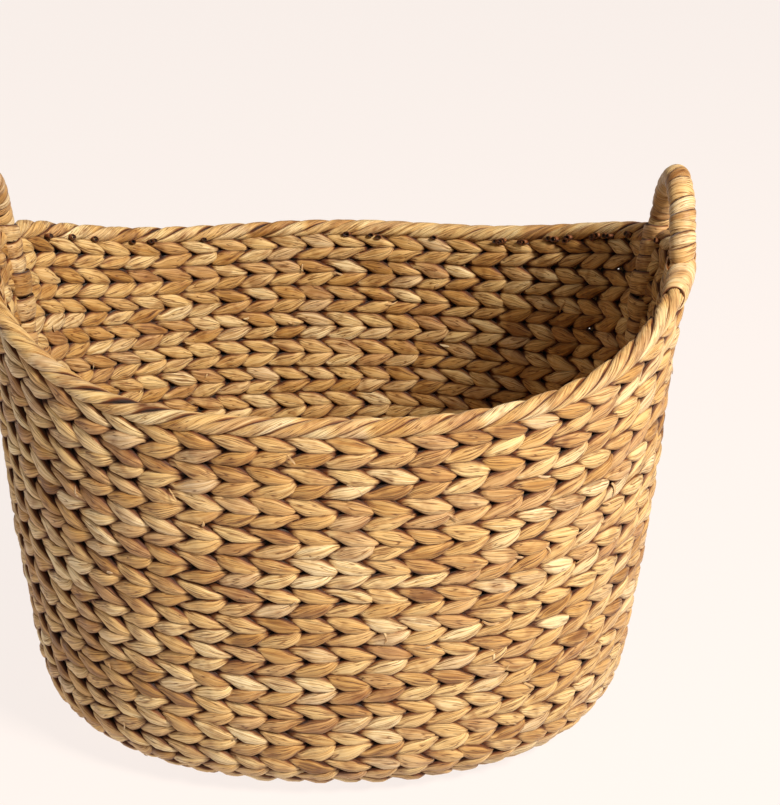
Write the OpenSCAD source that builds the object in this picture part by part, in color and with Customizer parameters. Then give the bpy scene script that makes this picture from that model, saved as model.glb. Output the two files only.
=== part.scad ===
// Oval laundry basket, twined from water hyacinth on upright stakes, with a wrapped
// handle at each end. Its rim is lowest at the front and back and rises to the ends.
// Origin at the centre of the underside, +X to the right-hand handle, +Y to the
// back, +Z up. Sizes are in millimetres.

/* [Body] */
// Length over the rim, from end to end, without the flare
rim_l = 560; // [450:1:690]
// Width over the rim, from front to back
rim_w = 450; // [360:1:540]
// Length at the floor, before its edge is rounded
foot_l = 514; // [400:1:640]
// Width at the floor, before its edge is rounded
foot_w = 396; // [320:1:500]
// Height of the rim at the middle of the front and back
rim_h = 360; // [280:1:450]
// Extra height of the rim at the two ends
end_rise = 59; // [0:1:90]
// How quickly the rim falls away from the ends
rise_power = 4; // [2:0.1:5]
// Extra half-length where the rim flares at the two ends
end_flare = 8; // [0:0.5:14]
// How far the wall bellies out at half height
belly = 6; // [0:0.5:14]
// Outside radius of the rounded bottom edge
edge_r = 55; // [40:1:70]
// Squareness of the oval, 2 for an ellipse
oval_power = 2.2; // [2:0.05:2.8]

/* [Weave] */
// Thickness of the woven wall and base
weave_t = 15; // [13:0.5:18]
// Number of twined rows from the base to the rim border
wall_rows = 27; // [22:1:30]
// Share by which the top rows are flatter than the middle ones, and the bottom ones taller
row_packing = 0.08; // [0:0.01:0.15]
// Height of the plaited rim border
border_h = 10; // [8:0.5:16]
// Number of twined rings round the base centre
base_rings = 9; // [6:1:11]
// Width of the plaited centre strip of the base
centre_w = 50; // [36:1:70]
// Space between neighbouring rows
row_gap = 0.4; // [0.2:0.1:1]
// Slope of a strand's edges towards its neighbours
strand_round = 2.2; // [1:0.1:3]

/* [Stakes] */
// Number of upright stakes, an even number
stakes = 56; // [44:2:64]
// Width of the square cane stakes and of the round base spokes
stake_d = 3; // [2.4:0.1:3.6]
// Room on each side of a stake, between the outer and the inner strand
stake_room = 1.8; // [1.7:0.1:2.2]
// How far the stakes stop below the top of the rim border
stake_end = 4; // [2:0.5:8]

/* [Handles] */
// Stakes between the end of the oval and each handle leg
leg_place = 1.7; // [1.7:0.1:2.3]
// Rise of the handle's centre line above the rim
handle_rise = 52; // [42:0.5:80]
// How far the arch's sides lean in towards its top, as a share of its half width
handle_lean = 0.25; // [0:0.05:0.3]
// Diameter of the wrapped handle
wrap_d = 21; // [18:0.5:28]
// Diameter of the steel wire inside the handle
core_d = 3; // [2.4:0.1:3.6]
// Room around the wire inside its wrapping
core_room = 0.3; // [0.2:0.1:0.6]
// Gap between the rim border and the end of the wrapping
wrap_gap = 2.5; // [2:0.5:6]
// How far the wire's legs run down inside the wall
leg_depth = 130; // [80:1:180]
// Height of one turn of the flat strip that lashes a leg to the wall
lash_h = 15; // [10:0.5:18]
// Number of turns in each lashing
lash_turns = 6; // [3:1:8]
// Width of the lashings
lash_w = 27; // [20:0.5:32]
// How far the lashings stand off the inside of the wall
lash_t = 6.5; // [4:0.5:9]
// Gap between a lashing and the wall behind it
lash_gap = 0.4; // [0.3:0.1:1]

/* [Hidden] */
straw = [0.80, 0.62, 0.40];
shade_straw = [0.70, 0.52, 0.31];
cane = [0.87, 0.76, 0.56];
steel = [0.45, 0.45, 0.46];

// Flat sides that each row has around the oval, and points on one section of a
// round rod and of the handle's wrapping
row_sides = 36;
rod_sides = 6;
wrap_sides = 12;
// Flat steps along a handle's arch, along each of its wire's legs, and up a stake
// round the bottom bend and above it
arch_steps = 14;
leg_steps = 4;
bend_steps = 3;
stake_steps = 6;
// Share of the height where the end flare starts
flare_from = 0.72;
// How far a stake's foot and a spoke's ends stop short of what they meet
stake_end_gap = 2.5;

half_t = weave_t / 2;
stake_r = stake_d / 2;
core_r = core_d / 2;
wrap_r = wrap_d / 2;
// Half the slot between the outer and the inner strand of a row
slot = stake_r + stake_room;
// The middle of the wall bends up from the base on this radius
bend_r = edge_r - half_t;
bend_len = bend_r * PI / 2;
// Length up the middle of the wall, from the flat base to the top of the rim
wall_len = bend_len + rim_h - edge_r;

function two_digits(i) = str(i < 10 ? "0" : "", i);
function wall_row_name(i) = str("wall_row_", two_digits(i));
function base_ring_name(i) = str("base_ring_", two_digits(i));

// ---- The oval ----

function signed_power(v, p) = sign(v) * pow(abs(v), p);

// Point of an oval at plan angle a, for its half-length and half-width
function oval(a, half_l, half_w) = [
    half_l * signed_power(cos(a), 2 / oval_power),
    half_w * signed_power(sin(a), 2 / oval_power)];

// Distance run along the rim for each plan angle, for even spacing around it
turn_step = 2;
function rim_step(a) = norm(oval(a + turn_step, rim_l, rim_w) - oval(a, rim_l, rim_w)) / 2;
rim_run = [for (a = 0, run = 0; a <= 360; run = run + rim_step(a), a = a + turn_step) [run, a]];
girth = rim_run[len(rim_run) - 1][0];

// Plan angle at a distance along the rim from the right-hand end
function angle_at(run) = lookup(run < 0 ? run + girth : run, rim_run) - (run < 0 ? 360 : 0);
function stake_run(i) = girth * i / stakes;

// ---- The woven skin ----
// A place on it is a distance s up from the base's flat edge, a plan angle a,
// and an offset r outwards from the middle of its thickness.

function bend(s) = min(90, s / bend_r * 180 / PI);
function skin_out(s, r) = (bend_r + r) * sin(bend(s)) - bend_r;
function skin_up(s, r) = edge_r - (bend_r + r) * cos(bend(s)) + max(0, s - bend_len);

function skin(s, a, r) = let (
    share = (skin_up(s, 0) - half_t) / (rim_h - half_t),
    rise = end_rise * pow(abs(cos(a)), rise_power) * share,
    flare = end_flare * pow(max(0, (share - flare_from) / (1 - flare_from)), 2) * pow(cos(a), 4),
    spread = belly * sin(180 * share) - half_t + skin_out(s, r),
    half_l = foot_l / 2 + (rim_l - foot_l) / 2 * share + flare + spread,
    half_w = foot_w / 2 + (rim_w - foot_w) / 2 * share + spread)
    concat(oval(a, half_l, half_w), skin_up(s, r) + rise);

// ---- Swept solids ----
// Each section is a list of points, clockwise as seen from the next section.

function swept_sides(sections, sides, closed) =
    [for (j = [0:sections - (closed ? 1 : 2)], k = [0:sides - 1]) let (
        here = j * sides, next = (j + 1) % sections * sides, k2 = (k + 1) % sides)
        each [[here + k, next + k, next + k2], [here + k, next + k2, here + k2]]];

module swept_ring(sections) {
    polyhedron(
        points = [for (section = sections) each section],
        faces = swept_sides(len(sections), len(sections[0]), true));
}

module swept_rod(sections) {
    sides = len(sections[0]);
    last = (len(sections) - 1) * sides;
    polyhedron(
        points = [for (section = sections) each section],
        faces = concat(
            swept_sides(len(sections), sides, false),
            [[for (k = [0:sides - 1]) k]],
            [[for (k = [sides - 1:-1:0]) last + k]]));
}

// ---- Rows of the wall ----

// Distance up the wall of the top of row i
function row_top(i) = let (share = i / wall_rows)
    (wall_len - border_h) * share * (1 + row_packing * (1 - share));

// One strand of a row, from s0 to s1 up the wall. side is 1 for the outer strand
// and -1 for the inner one.
module row_strand(s0, s1, side) {
    profile = [[s0, slot], [s0 + strand_round, half_t], [s1 - strand_round, half_t], [s1, slot]];
    corners = side > 0 ? profile : [for (k = [3:-1:0]) profile[k]];
    swept_ring([for (j = [0:row_sides - 1]) let (a = angle_at(girth * j / row_sides))
        [for (corner = corners) skin(corner[0], a, side * corner[1])]]);
}

module wall_row(i) {
    s0 = row_top(i - 1) + row_gap / 2;
    s1 = row_top(i) - row_gap / 2;
    color(i % 2 == 0 ? straw : shade_straw) {
        row_strand(s0, s1, 1);
        row_strand(s0, s1, -1);
    }
}

module rim_border() {
    s0 = wall_len - border_h + row_gap / 2;
    color(straw) {
        row_strand(s0, wall_len, 1);
        row_strand(s0, wall_len, -1);
    }
}

// ---- Base ----

base_half_l = skin(0, 0, 0)[0];
base_half_w = skin(0, 90, 0)[1];
ring_w = (base_half_w - centre_w / 2) / base_rings;

module base_oval(inset) {
    polygon([for (j = [0:row_sides - 1])
        oval(angle_at(girth * j / row_sides), base_half_l - inset, base_half_w - inset)]);
}

// Ring i, counted from the centre, has an upper and a lower strand with the spokes between
module base_ring(i) {
    inset = (base_rings - i) * ring_w;
    color(i % 2 == 0 ? straw : shade_straw)
        for (z = [0, half_t + slot])
            translate([0, 0, z]) linear_extrude(half_t - slot) difference() {
                base_oval(inset);
                base_oval(inset + ring_w - row_gap);
            }
}

module base_centre() {
    color(straw) linear_extrude(weave_t) base_oval(base_rings * ring_w + row_gap);
}

module base_spokes() {
    color(cane) for (i = [0:2:stakes - 1]) {
        a = angle_at(stake_run(i));
        inset = base_rings * ring_w - stake_end_gap;
        inner = oval(a, base_half_l - inset, base_half_w - inset);
        outer = oval(a, base_half_l - stake_end_gap, base_half_w - stake_end_gap);
        reach = outer - inner;
        translate([inner[0], inner[1], half_t])
            rotate([0, 90, atan2(reach[1], reach[0])])
                cylinder(r = stake_r, h = norm(reach), $fn = 24);
    }
}

// ---- Stakes ----

// Section of a rod in the wall, at s up it and run along the rim
function rod_section(s, run, corners) =
    [for (corner = corners) skin(s, angle_at(run + corner[0]), corner[1])];

module side_stakes() {
    foot = stake_end_gap;
    top = wall_len - stake_end;
    levels = concat(
        [for (j = [0:bend_steps - 1]) foot + (bend_len - foot) * j / bend_steps],
        [for (j = [0:stake_steps]) bend_len + (top - bend_len) * j / stake_steps]);
    corners = [[stake_r, -stake_r], [stake_r, stake_r], [-stake_r, stake_r], [-stake_r, -stake_r]];
    color(cane) for (i = [0:stakes - 1])
        swept_rod([for (s = levels) rod_section(s, stake_run(i + 0.5), corners)]);
}

// ---- Handles ----

leg_run = stake_run(leg_place);
leg_top = skin(wall_len, angle_at(leg_run), 0);
arch_z = leg_top[2] + wrap_gap;

// Point of the arch's centre line at angle t from its front leg, offset by n across
// the arch's plane and by m outwards in it
function arch(t, n, m) = [
    leg_top[0] + n,
    -(leg_top[1] * (1 - handle_lean * sin(t)) + m) * cos(t),
    arch_z + (handle_rise + m) * sin(t)];

function circle_section(t, r, sides) =
    [for (k = [0:sides - 1]) let (g = -360 * k / sides) arch(t, r * cos(g), r * sin(g))];

// The wire runs up one leg in the wall, over the arch and down the other leg
module handle_core() {
    leg_levels = [for (j = [0:leg_steps]) wall_len - leg_depth + leg_depth * j / leg_steps];
    ring = [for (k = [0:rod_sides - 1]) let (g = -360 * k / rod_sides) core_r * [sin(g), cos(g)]];
    function leg_section(s, end) = [for (c = ring) skin(s, angle_at(end * (leg_run + c[0])), c[1])];
    color(steel) swept_rod(concat(
        [for (s = leg_levels) leg_section(s, -1)],
        [for (j = [0:arch_steps]) circle_section(180 * j / arch_steps, core_r, rod_sides)],
        [for (j = [leg_steps:-1:0]) leg_section(leg_levels[j], 1)]));
}

module handle_wrap() {
    color(straw) {
        sections = [for (j = [0:arch_steps]) let (t = 180 * j / arch_steps) concat(
            circle_section(t, wrap_r, wrap_sides),
            circle_section(t, core_r + core_room, wrap_sides))];
        bored_rod(sections, wrap_sides);
    }
}

// Rod with a bore along it: each section holds the outer ring and then the inner ring
module bored_rod(sections, sides) {
    both = 2 * sides;
    last = (len(sections) - 1) * both;
    walls = [for (j = [0:len(sections) - 2], k = [0:sides - 1]) let (
        here = j * both, next = here + both, k2 = (k + 1) % sides, inner = sides)
        each [
            [here + k, next + k, next + k2], [here + k, next + k2, here + k2],
            [here + inner + k, next + inner + k2, next + inner + k],
            [here + inner + k, here + inner + k2, next + inner + k2]]];
    ends = [for (k = [0:sides - 1]) let (k2 = (k + 1) % sides)
        each [
            [k, k2, sides + k2], [k, sides + k2, sides + k],
            [last + k, last + sides + k2, last + k2], [last + k, last + sides + k, last + sides + k2]]];
    polyhedron(points = [for (section = sections) each section], faces = concat(walls, ends));
}

// Turns of flat strip on the inside of the wall, over one leg
module lashing(run) {
    off = -half_t - lash_gap;
    top = wall_len - border_h / 2;
    // Section of the strip at s, for its half-width and its thickness
    function turn(s, w, t) = let (
        corners = [[-w, 0], [-w, -t / 2], [-w / 2, -t], [w / 2, -t], [w, -t / 2], [w, 0]])
        [for (corner = corners) skin(s, angle_at(run + corner[0]), off + corner[1])];
    color(straw) swept_rod([for (i = [lash_turns:-1:0]) each concat(
        [turn(top - i * lash_h, lash_w / 2 - strand_round, lash_t - strand_round)],
        i == 0 ? [] : [turn(top - (i - 0.5) * lash_h, lash_w / 2, lash_t)])]);
}

module at_left() {
    mirror([1, 0, 0]) children();
}

base_centre();
for (i = [1:base_rings]) base_ring(i);
base_spokes();
side_stakes();
for (i = [1:wall_rows]) wall_row(i);
rim_border();
at_left() handle_core();  // handle_core_left
handle_core();  // handle_core_right
at_left() handle_wrap();  // handle_wrap_left
handle_wrap();  // handle_wrap_right
at_left() lashing(-leg_run);  // lashing_left_front
at_left() lashing(leg_run);  // lashing_left_back
lashing(-leg_run);  // lashing_right_front
lashing(leg_run);  // lashing_right_back
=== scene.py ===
"""Looks of an oval laundry basket, twined from water hyacinth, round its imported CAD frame.

Lengths are in millimetres until a mesh is made, and then in metres. A place on the woven
skin is a distance s up from the flat base, a place u round the rim counted in stakes from
the right-hand end, and an offset r outwards from the middle of the skin's thickness.
"""
import math

import bpy
import numpy as np
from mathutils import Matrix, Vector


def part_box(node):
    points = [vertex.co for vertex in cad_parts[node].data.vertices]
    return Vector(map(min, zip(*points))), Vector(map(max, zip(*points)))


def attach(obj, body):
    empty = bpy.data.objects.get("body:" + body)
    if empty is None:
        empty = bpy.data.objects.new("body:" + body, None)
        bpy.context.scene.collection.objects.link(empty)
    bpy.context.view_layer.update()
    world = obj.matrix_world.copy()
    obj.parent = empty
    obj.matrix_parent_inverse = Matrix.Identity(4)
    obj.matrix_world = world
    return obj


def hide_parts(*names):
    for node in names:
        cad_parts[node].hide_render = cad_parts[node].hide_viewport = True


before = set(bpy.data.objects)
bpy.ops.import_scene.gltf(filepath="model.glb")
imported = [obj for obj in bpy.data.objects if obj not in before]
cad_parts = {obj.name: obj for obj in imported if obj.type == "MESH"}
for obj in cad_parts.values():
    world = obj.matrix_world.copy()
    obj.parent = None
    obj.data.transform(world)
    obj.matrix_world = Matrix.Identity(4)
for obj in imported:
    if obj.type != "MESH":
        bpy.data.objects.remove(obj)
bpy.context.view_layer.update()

MM = 0.001


# ---- The basket's dimensions ----

def node_size(node):
    """Lowest and highest corner of a CAD node, in millimetres."""
    low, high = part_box(node)
    return np.array(low) / MM, np.array(high) / MM


STAKES = 56
WALL_ROWS = 27
BASE_RINGS = 9
BASE_SPOKES = 28
BORDER_H = 10.0  # height of the rope along the rim
ROW_GAP = 0.4  # left between one row and the next
ROW_PACKING = 0.08  # share by which the lowest rows are taller and the highest ones lower
EDGE_R = 55.0  # outer radius where the base turns up into the wall
HANDLE_LEAN = 0.25  # share by which an arch's sides lean in at its top
HANDLE_INSET = 1.0  # how far towards the basket a handle's strip is wound off its CAD middle
OVAL_POWER = 2.2  # 2 is an ellipse, and more is squarer
FOOT_L, FOOT_W = 514.0, 396.0
END_FLARE, FLARE_FROM = 8.0, 0.72  # how far the end walls flare, above this share of the height
RISE_POWER = 4.0  # how closely the rim's rise keeps to its ends
BELLY = 6.0  # how far the wall bulges at half its height

WEAVE_T = node_size("base_centre")[1][2]
HALF_T = WEAVE_T / 2
rim_low, rim_high = node_size("rim_border")
RIM_W = 2 * rim_high[1]
RIM_L = 2 * (rim_high[0] - END_FLARE)
RIM_H = rim_low[2] + BORDER_H - ROW_GAP / 2
END_RISE = rim_high[2] - RIM_H
BEND_R = EDGE_R - HALF_T
BEND_LEN = BEND_R * math.pi / 2
WALL_LEN = BEND_LEN + RIM_H - EDGE_R
BASE_HALF_W = FOOT_W / 2 - HALF_T - BEND_R
CENTRE_W = 2 * node_size("base_centre")[1][1]
ROPE_S = WALL_LEN - 5.5  # where up the wall the middle of the rim's rope lies
ROPE_LOBES = 60


def oval(angle, half_l, half_w):
    """Point of the oval at a plan angle."""
    c, s = np.cos(angle), np.sin(angle)
    power = 2 / OVAL_POWER
    return half_l * np.sign(c) * np.abs(c) ** power, half_w * np.sign(s) * np.abs(s) ** power


rim_angle = np.linspace(0, 2 * math.pi, 721)
rim_x, rim_y = oval(rim_angle, RIM_L / 2, RIM_W / 2)
rim_run = np.concatenate([[0], np.cumsum(np.hypot(np.diff(rim_x), np.diff(rim_y)))])
PITCH = rim_run[-1] / STAKES


def angle_at(u):
    """Plan angle of a place u round the rim, evenly spaced along it."""
    turns = np.floor(u / STAKES)
    return np.interp((u / STAKES - turns) * rim_run[-1], rim_run, rim_angle) + turns * 2 * math.pi


def skin(s, u, r):
    """Point of the woven skin. Below the wall, s is minus the distance in from the base's edge."""
    up = np.maximum(s, 0)
    bend = np.minimum(math.pi / 2, up / BEND_R)
    rest = np.maximum(0, up - BEND_LEN)
    out = (BEND_R + r) * np.sin(bend) - BEND_R
    height = EDGE_R - (BEND_R + r) * np.cos(bend) + rest
    middle = EDGE_R - BEND_R * np.cos(bend) + rest
    share = (middle - HALF_T) / (RIM_H - HALF_T)
    angle = angle_at(u)
    end = np.abs(np.cos(angle))
    flare = END_FLARE * (np.maximum(0, share - FLARE_FROM) / (1 - FLARE_FROM)) ** 2 * end ** 4
    spread = BELLY * np.sin(math.pi * share) - HALF_T + out + np.minimum(s, 0)
    x, y = oval(angle, FOOT_L / 2 + (RIM_L - FOOT_L) / 2 * share + flare + spread,
                FOOT_W / 2 + (RIM_W - FOOT_W) / 2 * share + spread)
    return np.stack([x, y, height + END_RISE * end ** RISE_POWER * share], -1)


def row_top(i):
    """Distance up the wall of the top of row i."""
    share = i / WALL_ROWS
    return (WALL_LEN - BORDER_H) * share * (1 + ROW_PACKING * (1 - share))


# ---- Meshes from swept sections ----

class Tube:
    """Sections of a tube, and what each of their points gives the material: its place in the
    fibre, its leaf's three tints, and its share of the light between 0 and 1."""

    def __init__(self, points, fibre, tint, light, closed):
        self.points = points
        self.fibre = fibre
        self.tint = tint
        self.light = light
        self.closed = closed

    def faces(self, first):
        """Corners of its sides, from its vertex number first, and of its two ends if open."""
        stations, sides = self.points.shape[:2]
        j = np.arange(stations if self.closed else stations - 1)[:, None]
        k = np.arange(sides)[None, :]
        here, there = j * sides, (j + 1) % stations * sides
        across = (k + 1) % sides
        quads = np.stack([here + k, here + across, there + across, there + k], -1)
        ends = [] if self.closed else [np.arange(sides)[::-1], (stations - 1) * sides + np.arange(sides)]
        return quads.reshape(-1, 4) + first, [end + first for end in ends]


def build(name, tubes, material, replaced=()):
    """One piece made of tubes, riding on the basket."""
    quads, ends, first = [], [], 0
    for tube in tubes:
        sides, caps = tube.faces(first)
        quads.append(sides)
        ends += caps
        first += tube.points.shape[0] * tube.points.shape[1]
    quads = np.concatenate(quads)
    corners = np.concatenate([quads.ravel()] + ends)
    counts = np.concatenate([np.full(len(quads), 4), [len(end) for end in ends]]).astype(int)
    mesh = bpy.data.meshes.new(name)
    mesh.vertices.add(first)
    mesh.vertices.foreach_set("co", np.concatenate([t.points.reshape(-1, 3) for t in tubes]).ravel() * MM)
    mesh.loops.add(len(corners))
    mesh.loops.foreach_set("vertex_index", corners.astype(np.int32))
    mesh.polygons.add(len(counts))
    mesh.polygons.foreach_set("loop_start", np.concatenate([[0], np.cumsum(counts)[:-1]]).astype(np.int32))
    mesh.update(calc_edges=True)
    mesh.shade_smooth()
    for label, values in (("fibre", [t.fibre for t in tubes]), ("tint", [t.tint for t in tubes])):
        layer = mesh.attributes.new(label, "FLOAT_VECTOR", "POINT")
        layer.data.foreach_set("vector", np.concatenate([v.reshape(-1, 3) for v in values]).ravel())
    layer = mesh.attributes.new("light", "FLOAT", "POINT")
    layer.data.foreach_set("value", np.concatenate([t.light.ravel() for t in tubes]))
    mesh.materials.append(material)
    piece = bpy.data.objects.new(name, mesh)
    bpy.context.scene.collection.objects.link(piece)
    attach(piece, "root")
    if replaced:
        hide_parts(*replaced)


def unit(vectors):
    return vectors / np.linalg.norm(vectors, axis=-1, keepdims=True)


# ---- Twined strands ----

STEPS = 12  # sections along each pitch
SIDES = 16  # points round a section


def per_lobe(values, u):
    """Each lobe's own value, turning into the next one's where the strand passes through."""
    lobe = np.floor(u - 0.5).astype(int)
    share = u - 0.5 - lobe
    turn = np.clip((share - 0.3) / 0.4, 0, 1)
    turn = turn * turn * (3 - 2 * turn)
    return values[lobe % len(values)] * (1 - turn) + values[(lobe + 1) % len(values)] * turn


waves = np.random.default_rng(7)
WAVES = [(waves.integers(1, 9), waves.uniform(30, 90), waves.uniform(0, 6.3)) for _ in range(7)]


def sway(u, s, stakes):
    """How far hand-packed rows wander up and down, the same for neighbouring rows."""
    return sum(0.55 * np.sin(2 * math.pi * turns * u / stakes + s / length + start)
               for turns, length, start in WAVES)


def superellipse(angle, power):
    """Cosine and sine of an angle, squared off by a power below 1."""
    c, s = np.cos(angle), np.sin(angle)
    return np.sign(c) * np.abs(c) ** power, np.sign(s) * np.abs(s) ** power


def fibre_place(along, angle, start):
    """Where the points of a section lie in the leaf's fibres."""
    along, angle = np.broadcast_arrays(along, angle)
    return np.stack([along + start, 6.0 * np.cos(angle), 6.0 * np.sin(angle)], -1)


def lobe_tints(dice, u, stakes, shape):
    """Three shares for each lobe: its tone and its rosiness, which colour it, and a third, weathering,
    that the material does not read.
    """
    return np.stack([np.broadcast_to(per_lobe(dice.uniform(0, 1, stakes), u)[:, None], shape)
                     for _ in range(3)], -1)


def crumpled(across, u, dice, stakes):
    """How far each point of a strand's sections lies in or out, as a share of its thickness."""
    shares = np.ones((len(u), len(across)))
    for deepest, narrow in ((0.34, 0.16), (0.2, 0.1)):
        groove = per_lobe(dice.uniform(-0.75, 0.75, stakes), u)[:, None]
        depth = per_lobe(dice.uniform(0, 1, stakes) ** 2, u)[:, None]
        slant = per_lobe(dice.uniform(-0.5, 0.5, stakes), u)[:, None] * np.sin(math.pi * u)[:, None]
        shares -= deepest * depth * np.exp(-((across[None, :] - groove - slant) / narrow) ** 2)
    return shares


def smooth(value, low, high):
    """0 below low, 1 above high, and an even rise between them."""
    share = np.clip((value - low) / (high - low), 0, 1)
    return share * share * (3 - 2 * share)


def twined_strand(s_mid, height, lean, start, stakes, seed, slips, reach=4.2, thick=8.2, full=1.2,
                  over=-0.2, under=-0.1, skew=0.3):
    """One of the two strands of a twined row, passing in and out between the stakes.

    lean is 1 where its lobes fall to the right and -1 where they rise, start is 0 or 1 for
    the first or the second strand, slips is how far each passing place is off along the
    row, and reach is how far its middle goes out over a stake. Over a stake the strand is
    full times its row's height. Its leading edge comes down to over, and its trailing edge
    up to under, in half heights of the row, where it passes the other strand.
    """
    dice = np.random.default_rng(seed)
    u = np.arange(stakes * STEPS) / STEPS
    middle = skin(np.full_like(u, s_mid), u * STAKES / stakes, 0 * u)
    around = np.linalg.norm(middle - np.roll(middle, 1, 0), axis=1).sum() / stakes

    def lobes(low, high):
        return per_lobe(dice.uniform(low, high, stakes), u)

    phase = math.pi * (u - 0.5 + start)
    swing = np.cos(phase) * (1 + 2 * skew * np.sin(phase))
    size = np.minimum(1, np.abs(swing))
    place = np.arcsin(np.sin(phase)) / (math.pi / 2)

    def edge(at, end, bend):
        past = np.clip((at - bend) / (1 - bend), 0, 1)
        return 1 - (1 - end) * past ** 1.35

    fullness = full * lobes(0.88, 1.12)
    leading = edge(place, over, -0.1) * fullness
    trailing = -edge(-place, -under, 0.0) * fullness
    high = height / 2 * (leading - trailing) / 2
    rise = -lean * height / 2 * (-(leading + trailing) / 2)
    path = np.stack([
        (u + per_lobe(slips, u)) * around,
        s_mid + rise + sway(u, s_mid, stakes),
        reach * np.sign(swing) * size ** 0.75 * lobes(0.88, 1.12)], -1)
    ahead = np.roll(path, -1, 0)
    behind = np.roll(path, 1, 0)
    ahead[-1, 0] += around * stakes
    behind[0, 0] -= around * stakes
    along = unit(ahead - behind)
    outward = unit(np.array([0, 0, 1.0]) - along * along[:, 2:])
    upward = np.cross(outward, along)

    ring = 2 * math.pi * np.arange(SIDES) / SIDES
    across, deep = superellipse(ring, 0.8)
    half_thick = thick / 2 * lobes(0.85, 1.15) * (1 + 0.35 * (1 - size) ** 2)
    section_up = high[:, None] * across[None, :]
    section_out = half_thick[:, None] * deep[None, :] * crumpled(across, u, dice, stakes)
    local = (path[:, None, :] + upward[:, None, :] * section_up[..., None]
             + outward[:, None, :] * section_out[..., None])
    points = skin(local[..., 1], local[..., 0] / around * (STAKES / stakes), local[..., 2])
    # painted shade: darker where the section lies deep between lobes and at its top and bottom edges
    light = smooth(np.abs(local[..., 2]), 1.0, 6.5) * (1 - 0.75 * np.abs(across[None, :]) ** 5)
    angle = ring[None, :] + (0.35 * u + dice.uniform(0, 6))[:, None]
    fibre = fibre_place(path[:, :1], angle, 3000 * dice.uniform())
    return Tube(points, fibre, lobe_tints(dice, u, stakes, angle.shape), light, True)


def twined_row(s_low, s_high, lean, stakes, seed, **shape):
    """Both strands of a row between two distances up the wall."""
    s_mid, height = (s_low + s_high) / 2, s_high - s_low
    slips = np.random.default_rng(seed + 500).uniform(-0.13, 0.13, stakes)
    return [twined_strand(s_mid, height, lean, start, stakes, seed * 10 + start, slips, **shape)
            for start in (0, 1)]


# ---- The rim's three-strand rope ----

def rope_strand(s_mid, start, lobes_round, seed, half_out=4.1, half_up=3.8, wide=4.7, thick=3.9):
    """One of three strands laid round each other along the rim, one turn in three lobes."""
    dice = np.random.default_rng(seed)
    u = np.arange(lobes_round * STEPS) / STEPS
    middle = skin(np.full_like(u, s_mid), u * STAKES / lobes_round, 0 * u)
    around = np.linalg.norm(middle - np.roll(middle, 1, 0), axis=1).sum() / lobes_round
    turn = 2 * math.pi * (u / 3 + start / 3)
    loose = per_lobe(dice.uniform(0.85, 1.15, lobes_round), u)
    ring = 2 * math.pi * np.arange(SIDES) / SIDES
    across, deep = superellipse(ring, 0.9)
    section_wide = (wide * loose)[:, None] * across[None, :]
    section_thick = thick * deep[None, :] * crumpled(across, u, dice, lobes_round)
    radial = np.stack([0 * u, np.sin(turn), np.cos(turn)], -1)
    path = np.stack([u * around, s_mid + half_up * np.sin(turn) + sway(u, s_mid, lobes_round) * 0.7,
                     half_out * np.cos(turn)], -1)
    climb = 2 * math.pi * half_up / (3 * around)
    along = unit(np.stack([0 * u + 1, climb * np.cos(turn), -climb * np.sin(turn)], -1))
    sideways = np.cross(radial, along)
    local = (path[:, None, :] + sideways[:, None, :] * section_wide[..., None]
             + radial[:, None, :] * section_thick[..., None])
    points = skin(local[..., 1], local[..., 0] / around * (STAKES / lobes_round), local[..., 2])
    # painted shade: darker where the three strands lie in against each other
    light = smooth(np.hypot(local[..., 1] - s_mid, local[..., 2]), 4.6, 7.0)
    angle = ring[None, :] + (0.2 * u + dice.uniform(0, 6))[:, None]
    fibre = fibre_place(path[:, :1], angle, 3000 * dice.uniform())
    return Tube(points, fibre, lobe_tints(dice, u, lobes_round, angle.shape), light, True)


# ---- Flat strips wound round the handles ----

def strip_section(wide, thick, crown):
    """Closed outline of a flat strip, with its width along the first axis."""
    place = np.linspace(-1, 1, 9)
    bulge, half = crown * (1 - place ** 2), thick / 2 * (1 - place ** 6)
    top = np.stack([place * wide / 2, bulge + half], -1)
    under = np.stack([place * wide / 2, bulge - half], -1)
    return np.concatenate([top, under[-2:0:-1]])


def strip_fibre(along, outline, shape):
    """Where the points of a strip's sections lie in its fibres."""
    return np.stack([np.broadcast_to(along[:, None], shape),
                     np.broadcast_to(outline[None, :, 0], shape),
                     np.broadcast_to(outline[None, :, 1], shape)], -1)


def strip_light(outline, wide, shape):
    """A strip's two edges are pressed in against the next turn and catch less light."""
    return np.broadcast_to(1 - 0.8 * np.abs(outline[None, :, 0] / (wide / 2)) ** 6, shape)


def wound_strip(arch, length, radius, turns, seed, wide=13.0, thick=1.4, tilt=1.9):
    """A strip wound along the arch in overlapping turns. arch gives a place's centre and axes."""
    dice = np.random.default_rng(seed)
    around = 30
    turn = np.arange(turns * around + 1) / around
    places = (turn / turns * length)[:, None]
    outline = strip_section(wide, thick, 0.7)
    width = per_lobe(dice.uniform(0.85, 1.15, turns + 2), turn)[:, None]
    wander = sum(1.1 * np.sin(2 * math.pi * turn * pace + dice.uniform(0, 6))
                 for pace in (0.37, 0.71, 1.3))[:, None]
    along = places + outline[None, :, 0] * width + wander
    out = radius + outline[None, :, 1] + tilt * outline[None, :, 0] / wide
    out = out + 0.25 * np.sin(5 * turn + dice.uniform(0, 6))[:, None]
    centre, side, up = arch(along)
    angle = (2 * math.pi * turn)[:, None, None]
    points = centre + out[..., None] * (np.cos(angle) * side + np.sin(angle) * up)
    tints = np.stack([np.broadcast_to(per_lobe(dice.uniform(0, 1, turns + 2), turn)[:, None], out.shape)
                      for _ in range(3)], -1)
    fibre = strip_fibre(turn * 2 * math.pi * radius + 900 * dice.uniform(), outline, out.shape)
    return Tube(points, fibre, tints, strip_light(outline, wide, out.shape), False)


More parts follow.
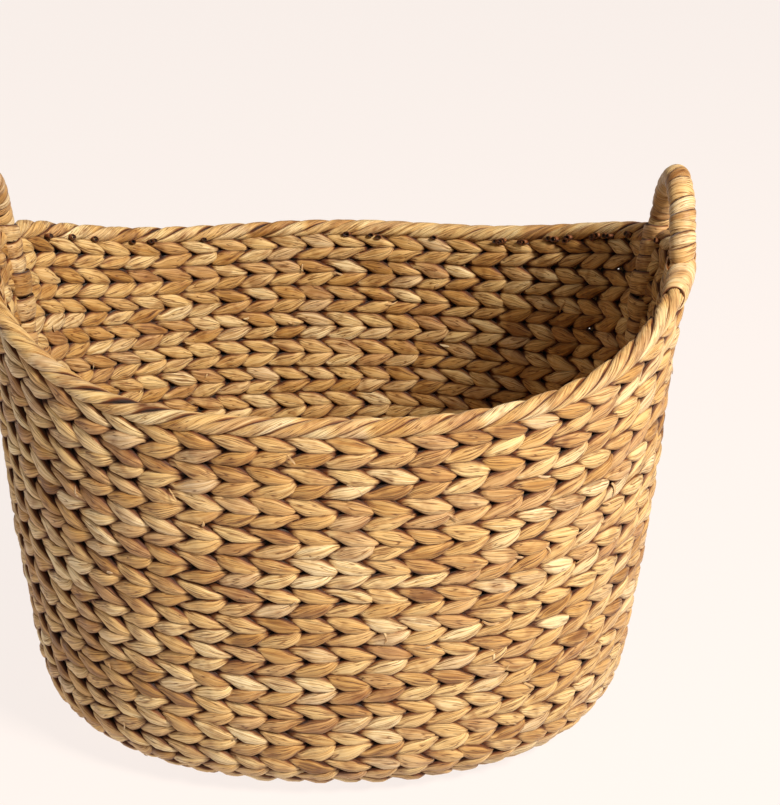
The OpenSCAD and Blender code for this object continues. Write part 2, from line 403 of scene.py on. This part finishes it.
def handle_arch(side):
    """Length of a handle's centre line, its radius, and a function of places along it."""
    low, high = node_size("handle_wrap_right")
    radius = (high[0] - low[0]) / 2
    leg_y, foot = high[1] - radius, low[2]
    rise = high[2] - foot - radius
    t = np.linspace(0, math.pi, 400)

    def centre(t):
        return -leg_y * (1 - HANDLE_LEAN * np.sin(t)) * np.cos(t), foot + rise * np.sin(t)

    y, z = centre(t)
    run = np.concatenate([[0], np.cumsum(np.hypot(np.diff(y), np.diff(z)))])

    def arch(places):
        at = np.interp(places, run, t)
        ahead, behind = centre(at + 0.01), centre(at - 0.01)
        heading = unit(np.stack([0 * at, ahead[0] - behind[0], ahead[1] - behind[1]], -1))
        y, z = centre(at)
        beyond = np.minimum(places, 0) + np.maximum(places - run[-1], 0)
        middle = np.stack([0 * at + side * (leg_x(radius) - HANDLE_INSET), y, z], -1)
        middle = middle + heading * beyond[..., None]
        sideways = np.broadcast_to(np.array([float(side), 0, 0]), middle.shape)
        return middle, sideways, np.cross(heading, sideways)

    return run[-1], radius, arch


def leg_x(radius):
    """How far out a handle's legs stand."""
    return node_size("handle_wrap_right")[1][0] - radius


def lashing_turn(u_leg, s_mid, wide, half_run, r_in, r_out, slope, seed):
    """One turn of flat strip round a handle's leg, closed on itself through the wall."""
    dice = np.random.default_rng(seed)
    steps = 44
    turn = 2 * math.pi * np.arange(steps) / steps
    across, deep = superellipse(turn, 0.85)
    outline = strip_section(wide, 1.6, 1.3)
    out = outline[None, :, 1] + 0.12 * outline[None, :, 0] + 0.3 * np.sin(3 * turn + seed)[:, None]
    run = (half_run + out) * across[:, None]
    r = (r_out + r_in) / 2 + ((r_out - r_in) / 2 + out) * deep[:, None]
    s = s_mid + outline[None, :, 0] + slope * across[:, None]
    points = skin(np.broadcast_to(s, r.shape), u_leg + run / PITCH, r)
    tints = np.broadcast_to(dice.uniform(0, 1, 3), r.shape + (3,))
    fibre = strip_fibre(turn * half_run + 900 * dice.uniform(), outline, r.shape)
    return Tube(points, fibre, tints, strip_light(outline, wide, r.shape), True)


def rim_band(u_mid, wide, half_r, half_s, seed):
    """One turn of flat strip bound round the rim, under the border and through the wall."""
    dice = np.random.default_rng(seed)
    steps = 44
    turn = 2 * math.pi * np.arange(steps) / steps
    across, deep = superellipse(turn, 0.9)
    outline = strip_section(wide, 1.6, 1.0)
    out = outline[None, :, 1] + 0.1 * outline[None, :, 0] + 0.25 * np.sin(3 * turn + seed)[:, None]
    r = (half_r + out) * across[:, None]
    s = ROPE_S + (half_s + out) * deep[:, None]
    run = outline[None, :, 0] + 1.5 * across[:, None]
    points = skin(s, u_mid + run / PITCH, r)
    tints = np.broadcast_to(dice.uniform(0, 1, 3), r.shape + (3,))
    fibre = strip_fibre(turn * half_r + 900 * dice.uniform(), outline, r.shape)
    return Tube(points, fibre, tints, strip_light(outline, wide, r.shape), True)


# ---- Loose ends ----

def bent_ribbon(path, wide, thick, dice, lit):
    """A narrow strip along a path of (along the row, up, out) places, flat to the wall."""
    along = unit(np.gradient(path, axis=0))
    across = unit(np.cross(along, [0, 0, 1.0]))
    outward = np.cross(across, along)
    outline = strip_section(1.0, 1.0, 0.2)
    taper = (np.sin(np.linspace(0.35, 2.9, len(path))) ** 0.5)[:, None, None]
    local = (path[:, None, :] + across[:, None, :] * outline[None, :, :1] * wide * taper
             + outward[:, None, :] * outline[None, :, 1:] * thick)
    points = skin(local[..., 1], local[..., 0] / PITCH, local[..., 2])
    shape = points.shape[:2]
    fibre = strip_fibre(np.linspace(0, 12, len(path)) + 900 * dice.uniform(), outline * 2, shape)
    return Tube(points, fibre, np.broadcast_to(dice.uniform(0.3, 1, 3), shape + (3,)),
                np.full(shape, lit), False)


def sliver(dice, side):
    """A split of leaf that has come loose from between two lobes and bends off the wall."""
    u, s = dice.uniform(0, STAKES), row_top(dice.integers(2, WALL_ROWS)) + dice.uniform(-3, 3)
    length, heading, lift = dice.uniform(6, 13), dice.uniform(-0.9, 0.9), dice.uniform(1.0, 2.6)
    t = np.linspace(0, 1, 7)
    curl = heading + dice.uniform(-0.8, 0.8) * t
    path = np.stack([u * PITCH + length * t * np.cos(curl), s + length * t * np.sin(curl),
                     side * (5.5 + lift * np.sin(2.2 * t) + 1.2 * t)], -1)
    return bent_ribbon(path, dice.uniform(1.2, 2.6), 0.5, dice, 0.9)


def cut_end(dice, side):
    """The hollow cut end of a strand, left standing where it was tucked in under the rim."""
    u = dice.uniform(0, STAKES)
    s = WALL_LEN - BORDER_H - dice.uniform(-1.5, 1.5)
    ring = 2 * math.pi * np.arange(14) / 14
    reach = np.array([0, 4.5, 5.2, 5.2, 2.0])
    radius = np.array([2.7, 3.0, 2.6, 1.9, 1.4]) * dice.uniform(0.8, 1.2)
    # painted shade: darker at the foot and down inside the hollow end
    lit = np.array([0.2, 0.5, 0.45, 0.1, 0.0])
    tip = dice.uniform(-0.6, 0.6)
    along = u * PITCH + reach[:, None] * tip + radius[:, None] * np.cos(ring) * 1.2
    up = s + reach[:, None] * 0.25 + radius[:, None] * np.sin(ring) * 0.8
    out = side * (4.5 + reach[:, None] + 0 * ring)
    points = skin(up, along / PITCH, out)
    shape = points.shape[:2]
    fibre = np.stack([np.broadcast_to(reach[:, None], shape), 2 * np.cos(ring) + 0 * up,
                      2 * np.sin(ring) + 0 * up], -1)
    return Tube(points, fibre, np.broadcast_to(dice.uniform(0, 0.6, 3), shape + (3,)),
                np.broadcast_to(lit[:, None], shape), False)


# ---- Materials ----

def linear(code):
    """Linear colour of an sRGB hex code."""
    parts = [int(code[i:i + 2], 16) / 255 for i in (1, 3, 5)]
    return [c / 12.92 if c <= 0.04045 else ((c + 0.055) / 1.055) ** 2.4 for c in parts] + [1.0]


def add_node(material, kind, settings=(), inputs=()):
    """A node with its settings, and its inputs set to values or linked from sockets."""
    node = material.node_tree.nodes.new("ShaderNode" + kind)
    for name, value in dict(settings).items():
        setattr(node, name, value)
    for name, value in dict(inputs).items():
        if isinstance(value, bpy.types.NodeSocket):
            material.node_tree.links.new(value, node.inputs[name])
        else:
            node.inputs[name].default_value = value
    return node


def new_material(name):
    material = bpy.data.materials.new(name)
    material.use_nodes = True
    material.node_tree.nodes.clear()
    return material


def set_ramp(node, stops):
    """Puts (place, hex colour) stops on a colour ramp."""
    ramp = node.color_ramp
    while len(ramp.elements) < len(stops):
        ramp.elements.new(0.5)
    for element, (place, code) in zip(ramp.elements, stops):
        element.position = place
        element.color = linear(code)


def dried_leaf(name, tones, roughness, bump_mm):
    """Dried water hyacinth stalk, flattened and twisted by hand.

    Its skin is dull and pale honey, with lengthwise fibres and darker cracks where it has split
    along them. Painted shade, dark brown to near-black, is laid into the colour down in the
    crevices between one lobe and the next and along the edges of lobes and strips.
    """
    m = new_material(name)
    fibre = add_node(m, "Attribute", {"attribute_name": "fibre"}).outputs["Vector"]
    tint = add_node(m, "Attribute", {"attribute_name": "tint"}).outputs["Vector"]
    light = add_node(m, "Attribute", {"attribute_name": "light"}).outputs["Fac"]
    leaf = add_node(m, "SeparateXYZ", (), {0: tint})

    def noise(along_mm, across_mm, detail, warp=0.0):
        """Noise whose grains are along_mm long and across_mm wide on the leaf."""
        grain = add_node(m, "VectorMath", {"operation": "MULTIPLY"}, {
            0: fibre, 1: (1 / along_mm, 1 / across_mm, 1 / across_mm)})
        return add_node(m, "TexNoise", (), {
            "Vector": grain.outputs[0], "Scale": 1.0, "Detail": detail, "Roughness": 0.55,
            "Distortion": warp}).outputs[0]

    def math_node(operation, a, b=0.0, c=0.0):
        return add_node(m, "Math", {"operation": operation}, {0: a, 1: b, 2: c}).outputs[0]

    def multiply(share, colour, by):
        return add_node(m, "MixRGB", {"blend_type": "MULTIPLY"}, {
            "Fac": share, "Color1": colour, "Color2": by}).outputs[0]

    def shades(value, stops):
        ramp = add_node(m, "ValToRGB", (), {"Fac": value})
        set_ramp(ramp, stops)
        return ramp.outputs[0]

    fibres = noise(30, 0.8, 3.0)
    strands = noise(60, 2.6, 2.0)
    blotches = noise(14, 9, 2.0, 0.4)
    # A crack follows a line of equal noise, so it is thin, long and a little wavy
    cracks = math_node("ABSOLUTE", math_node("SUBTRACT", noise(34, 2.2, 1.0), 0.5))
    tone = math_node("MULTIPLY_ADD", strands, 0.5, math_node("SUBTRACT", leaf.outputs[0], 0.25))
    colour = shades(tone, tones)
    colour = add_node(m, "MixRGB", {"blend_type": "MIX"}, {
        "Fac": math_node("MULTIPLY", math_node("POWER", leaf.outputs[1], 3.0), 0.45),
        "Color1": colour, "Color2": linear("#bd9272")}).outputs[0]
    for share, value, stops in (
            (0.8, fibres, [(0.3, "#a07a4c"), (0.45, "#e8d8bd"), (0.58, "#ffffff")]),
            (0.55, blotches, [(0.3, "#a97b48"), (0.5, "#ffffff")]),
            (0.75, cracks, [(0.0, "#5a3714"), (0.012, "#a98252"), (0.03, "#ffffff")]),
            # painted shade: near-black brown where a point's light share is low, in crevices and at edges
            (1.0, light, [(0.0, "#1c0c02"), (0.45, "#8a5a2a"), (0.88, "#ffffff")])):
        colour = multiply(share, colour, shades(value, stops))
    height = math_node("MULTIPLY_ADD", math_node("MINIMUM", cracks, 0.04), 14.0,
                       math_node("MULTIPLY_ADD", strands, 0.8, fibres))
    bump = add_node(m, "Bump", (), {"Height": height, "Strength": 1.0, "Distance": bump_mm * MM})
    rough = add_node(m, "MapRange", (), {
        "Value": fibres, "To Min": roughness - 0.1, "To Max": roughness + 0.12})
    shader = add_node(m, "BsdfPrincipled", (), {
        "Base Color": colour, "Roughness": rough.outputs[0], "IOR": 1.45,
        "Sheen Weight": 0.1, "Sheen Roughness": 0.4, "Normal": bump.outputs[0]})
    add_node(m, "OutputMaterial", (), {"Surface": shader.outputs[0]})
    return m


STRAW_TONES = [(0.0, "#9c7038"), (0.08, "#c79a58"), (0.35, "#e0ba7c"), (0.7, "#ecce94"),
               (1.0, "#f6e2b6")]
WRAP_TONES = [(0.0, "#bb9058"), (0.15, "#deb87e"), (0.7, "#e8ca96"), (1.0, "#f4e0ba")]
hyacinth = dried_leaf("water_hyacinth", STRAW_TONES, 0.55, 0.6)
hyacinth_rim = dried_leaf("rim_hyacinth", STRAW_TONES, 0.55, 0.5)
hyacinth_wrap = dried_leaf("flat_hyacinth_strip", WRAP_TONES, 0.48, 0.35)


def fibre_grain(material, along_mm, across_mm):
    """Noise in long grains that stand upright on a CAD piece."""
    place = add_node(material, "TexCoord").outputs["Object"]
    grain = add_node(material, "VectorMath", {"operation": "MULTIPLY"}, {
        0: place, 1: (1 / (across_mm * MM), 1 / (across_mm * MM), 1 / (along_mm * MM))})
    return add_node(material, "TexNoise", (), {
        "Vector": grain.outputs[0], "Scale": 1.0, "Detail": 3.0, "Roughness": 0.6}).outputs[0]


def finish_cad_node(material, grain, shades, roughness, bump_mm, settings):
    """Colour, roughness and bump that all follow one grain."""
    ramp = add_node(material, "ValToRGB", (), {"Fac": grain})
    set_ramp(ramp, shades)
    rough = add_node(material, "MapRange", (), {
        "Value": grain, "To Min": roughness - 0.08, "To Max": roughness + 0.1})
    bump = add_node(material, "Bump", (), {"Height": grain, "Strength": 1.0, "Distance": bump_mm * MM})
    shader = add_node(material, "BsdfPrincipled", (), {
        "Base Color": ramp.outputs[0], "Roughness": rough.outputs[0], "Normal": bump.outputs[0],
        **settings})
    add_node(material, "OutputMaterial", (), {"Surface": shader.outputs[0]})
    return material


def split_cane():
    """Peeled cane, pale and hard, with fine pores along it."""
    m = new_material("split_cane")
    return finish_cad_node(m, fibre_grain(m, 25, 0.7), [(0.3, "#b58a55"), (0.6, "#dcbc88")],
                           0.45, 0.08, {"IOR": 1.5, "Sheen Weight": 0.05})


def steel_wire():
    """Drawn mild steel wire, grey and a little dulled."""
    m = new_material("drawn_steel_wire")
    return finish_cad_node(m, fibre_grain(m, 12, 0.3), [(0.3, "#7d7a76"), (0.7, "#a5a29d")],
                           0.38, 0.02, {"Metallic": 1.0})


# ---- Camera, light and floor ----

AIM = (0.0, 0.0, 0.1756)
DISTANCE, AZIMUTH, ELEVATION = 1.4732, math.radians(-0.12), math.radians(28.25)
LENS, SENSOR = 75.22, 36.0
SHIFT = (0.0724, 0.1281)  # the basket stands left of the frame's middle and below it


def place_camera():
    """A short telephoto lens above the front of the basket, tilted down at it and shifted."""
    camera = bpy.data.objects.new("camera", bpy.data.cameras.new("camera"))
    bpy.context.scene.collection.objects.link(camera)
    back = (math.sin(AZIMUTH) * math.cos(ELEVATION), -math.cos(AZIMUTH) * math.cos(ELEVATION),
            math.sin(ELEVATION))
    camera.location = [a + DISTANCE * b for a, b in zip(AIM, back)]
    camera.rotation_euler = (math.pi / 2 - ELEVATION, 0, AZIMUTH)
    camera.data.sensor_width = SENSOR
    camera.data.lens = LENS
    camera.data.shift_x, camera.data.shift_y = SHIFT
    bpy.context.scene.camera = camera


def area_light(name, place, target, size, power, colour):
    light = bpy.data.lights.new(name, "AREA")
    light.size = size
    light.energy = power
    light.color = linear(colour)[:3]
    lamp = bpy.data.objects.new(name, light)
    bpy.context.scene.collection.objects.link(lamp)
    lamp.location = place
    offset = np.array(place) - np.array(target)
    lamp.rotation_euler = (math.atan2(math.hypot(offset[0], offset[1]), offset[2]), 0,
                           math.atan2(offset[1], offset[0]) + math.pi / 2)


def pale_floor():
    mesh = bpy.data.meshes.new("floor")
    half = 9.0  # metres
    corners = [(-half, -half, 0), (half, -half, 0), (half, half, 0), (-half, half, 0)]
    mesh.from_pydata(corners, [], [(0, 1, 2, 3)])
    floor = bpy.data.objects.new("floor", mesh)
    bpy.context.scene.collection.objects.link(floor)
    m = new_material("pale_floor")
    glow = add_node(m, "Emission", (), {"Color": linear("#faf1ec"), "Strength": 0.94})
    paint = add_node(m, "BsdfDiffuse", (), {"Color": linear("#5c5856")})
    both = add_node(m, "AddShader", (), {0: glow.outputs[0], 1: paint.outputs[0]})
    add_node(m, "OutputMaterial", (), {"Surface": both.outputs[0]})
    mesh.materials.append(m)


place_camera()
area_light("key", (1.6, -1.7, 2.4), (0, 0, 0.2), 0.6, 146, "#fff5e6")
pale_floor()
world = bpy.data.worlds.new("studio")
world.use_nodes = True
world.node_tree.nodes["Background"].inputs[0].default_value = linear("#f7e6cf")
world.node_tree.nodes["Background"].inputs[1].default_value = 0.25
bpy.context.scene.world = world
bpy.context.scene.view_settings.view_transform = "Standard"

# ---- The basket ----

gap = ROW_GAP / 2
for i in range(1, WALL_ROWS + 1):
    row = twined_row(row_top(i - 1) + gap, row_top(i) - gap, 1 if i % 2 else -1, STAKES, i)
    build(f"twined_row_{i:02d}", row, hyacinth, [f"wall_row_{i:02d}"])

BASE_STRAND = {"reach": 3.6, "thick": 7.0}  # flatter than the wall's
ring_w = (BASE_HALF_W - CENTRE_W / 2) / BASE_RINGS
for i in range(1, BASE_RINGS + 1):
    s_out = -(BASE_RINGS - i) * ring_w
    row = twined_row(s_out - ring_w, s_out, 1 if i % 2 else -1, BASE_SPOKES, 100 + i, **BASE_STRAND)
    build(f"twined_ring_{i:02d}", row, hyacinth, [f"base_ring_{i:02d}"])

CENTRE_LOBES = 14
centre_rows = []
for i in (0, 1):
    s_out = -(BASE_HALF_W - CENTRE_W / 2 * (1 - i / 2))
    centre_rows += twined_row(s_out - CENTRE_W / 4, s_out, 1 if i else -1, CENTRE_LOBES, 120 + i,
                              **BASE_STRAND)
build("plaited_centre", centre_rows, hyacinth, ["base_centre"])

rim_rope = [rope_strand(ROPE_S, start, ROPE_LOBES, 130 + start) for start in range(3)]
build("rim_rope", rim_rope, hyacinth_rim, ["rim_border"])

LEG_PLACE = 1.7  # stakes between the end of the oval and a handle's leg
WRAP_TURNS = 17
# How far below the rim's top each turn of a lashing lies, its width, half its run along the
# wall, and how far it stands in. The two broad turns hold the leg against the wall.
LASHING = [(5, 14, 11.5, 11.0), (16, 14, 11.5, 11.5), (28, 14, 11.5, 11.5), (43, 20, 14.0, 13.0),
           (62, 19, 13.5, 12.5), (77, 11, 10.5, 11.0), (87, 13, 10.5, 11.0), (98, 11, 9.0, 10.5),
           (107, 10, 8.0, 10.5)]
# Where the strip goes round the rim, in stakes past each leg, and how far out it stands there
BINDING = {"front": [(0.12, 9.6), (0.46, 9.1), (0.8, 8.8), (1.12, 8.2)], "back": [(0.1, 8.6)]}
for side, hand in ((1, "right"), (-1, "left")):
    length, radius, arch = handle_arch(side)
    wrap = wound_strip(arch, length, radius - 1.7, WRAP_TURNS, 140 + side)
    build(f"strip_wound_{hand}", [wrap], hyacinth_wrap, [f"handle_wrap_{hand}"])
    for end, where in ((-1, "front"), (1, "back")):
        u_leg = end * LEG_PLACE if side > 0 else STAKES / 2 - end * LEG_PLACE
        away = end * side
        dice = np.random.default_rng(150 + 10 * side + end)
        turns = [lashing_turn(u_leg, WALL_LEN - down, wide, half_run, -r_in, 3.0,
                              dice.uniform(-2, 2), int(dice.integers(1000)))
                 for down, wide, half_run, r_in in LASHING]
        build(f"leg_lashing_{hand}_{where}", turns, hyacinth_wrap,
              [f"lashing_{hand}_{where}"])
        bands = [rim_band(u_leg + away * place, 12.5, half_r, half_r + 0.6,
                          int(dice.integers(1000))) for place, half_r in BINDING[where]]
        build(f"rim_binding_{hand}_{where}", bands, hyacinth_wrap)

dice = np.random.default_rng(200)
SLIVERS, CUT_ENDS = 150, 60
build("frayed_slivers", [sliver(dice, 1 if k % 2 else -1) for k in range(SLIVERS)],
      hyacinth_wrap)
build("tucked_cut_ends", [cut_end(dice, -1) for _ in range(CUT_ENDS)], hyacinth)

cane, steel = split_cane(), steel_wire()
for name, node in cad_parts.items():
    if name in ("side_stakes", "base_spokes"):
        node.material_slots[0].material = cane
    if name.startswith("handle_core"):
        node.material_slots[0].material = steel
